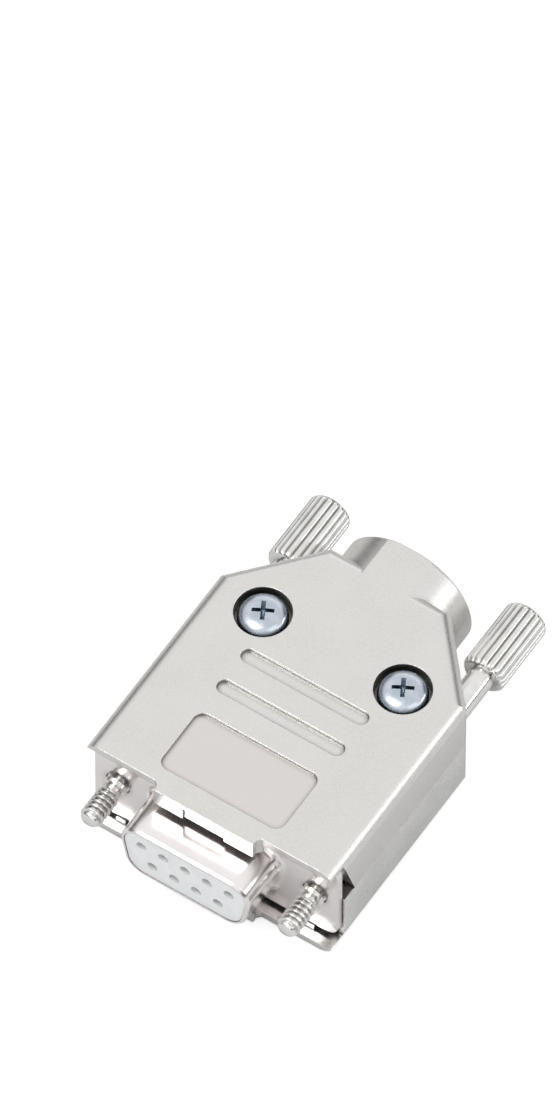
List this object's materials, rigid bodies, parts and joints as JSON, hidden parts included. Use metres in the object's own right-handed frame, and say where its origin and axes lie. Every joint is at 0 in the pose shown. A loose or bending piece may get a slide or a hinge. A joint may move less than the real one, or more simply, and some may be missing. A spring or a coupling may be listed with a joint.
{
  "type": "d-sub connector hood",
  "caption": "D-sub socket connector in a two-part die-cast metal hood with captive thumbscrews, cover screws and a split cable clamp in the neck",
  "frame": {"origin": "centre of the front face of the connector's flange, on the plane where the two hood halves meet", "axes": "+X across the connector, +Y from the connector towards the cable, +Z from the lower shell towards the cover"},
  "size_m": [0.0314, 0.0477, 0.0158],
  "materials": {
    "nickel_bright": "bright nickel plate on a die casting",
    "nickel_satin": "satin nickel plate on a die casting, fine grain",
    "black_plastic": "moulded, slightly glossy black",
    "screw_nickel": "bright nickel plate on turned steel",
    "zinc_plate": "bluish zinc plate",
    "tin_shell": "smooth tin plate on stamped steel",
    "white_plastic": "moulded white",
    "gold_contact": "gold flash on brass"
  },
  "bodies": {
    "lower_shell": {"lower_shell": "nickel_bright"},
    "cover": {"cover": "nickel_satin"},
    "insert_lower": {"insert_lower": "black_plastic"},
    "insert_upper": {"insert_upper": "black_plastic"},
    "thumbscrew_left": {"thumbscrew_left": "screw_nickel"},
    "thumbscrew_right": {"thumbscrew_right": "screw_nickel"},
    "case_screw_left": {"case_screw_left": "zinc_plate"},
    "case_screw_right": {"case_screw_right": "zinc_plate"},
    "connector": {"shell_front": "tin_shell", "shell_rear": "tin_shell", "insulator_front": "white_plastic", "insulator_rear": "white_plastic", "contact_1": "gold_contact", "contact_2": "gold_contact", "contact_3": "gold_contact", "contact_4": "gold_contact", "contact_5": "gold_contact", "contact_6": "gold_contact", "contact_7": "gold_contact", "contact_8": "gold_contact", "contact_9": "gold_contact"}
  },
  "joints": [
    {"name": "cover_lift", "type": "slide", "parent": "lower_shell", "child": "cover", "axis": [0, 0, 1], "range_m": [0, 0.101]},
    {"name": "case_screw_left_lift", "type": "slide", "parent": "cover", "child": "case_screw_left", "axis": [0, 0, 1], "range_m": [0, 0.0125]},
    {"name": "case_screw_right_lift", "type": "slide", "parent": "cover", "child": "case_screw_right", "axis": [0, 0, 1], "range_m": [0, 0.0125]},
    {"name": "insert_upper_lift", "type": "slide", "parent": "lower_shell", "child": "insert_upper", "axis": [0, 0, 1], "range_m": [0, 0.0425]},
    {"name": "insert_lower_lift", "type": "slide", "parent": "lower_shell", "child": "insert_lower", "axis": [0, 0, 1], "range_m": [0, 0.0213]},
    {"name": "connector_pull", "type": "slide", "parent": "lower_shell", "child": "connector", "axis": [0, -1, 0], "range_m": [0, 0.0166]},
    {"name": "thumbscrew_left_spin", "type": "hinge", "parent": "lower_shell", "child": "thumbscrew_left", "pos_m": [-0.01249, 0, 0], "axis": [0, 1, 0], "continuous": true},
    {"name": "thumbscrew_right_spin", "type": "hinge", "parent": "lower_shell", "child": "thumbscrew_right", "pos_m": [0.01249, 0, 0], "axis": [0, 1, 0], "continuous": true}
  ],
  "couplings": [
    {"joint": "insert_upper_lift", "follows": "cover_lift", "ratio": 0.416},
    {"joint": "insert_lower_lift", "follows": "cover_lift", "ratio": 0.208},
    {"joint": "connector_pull", "follows": "cover_lift", "ratio": 0.163}
  ]
}
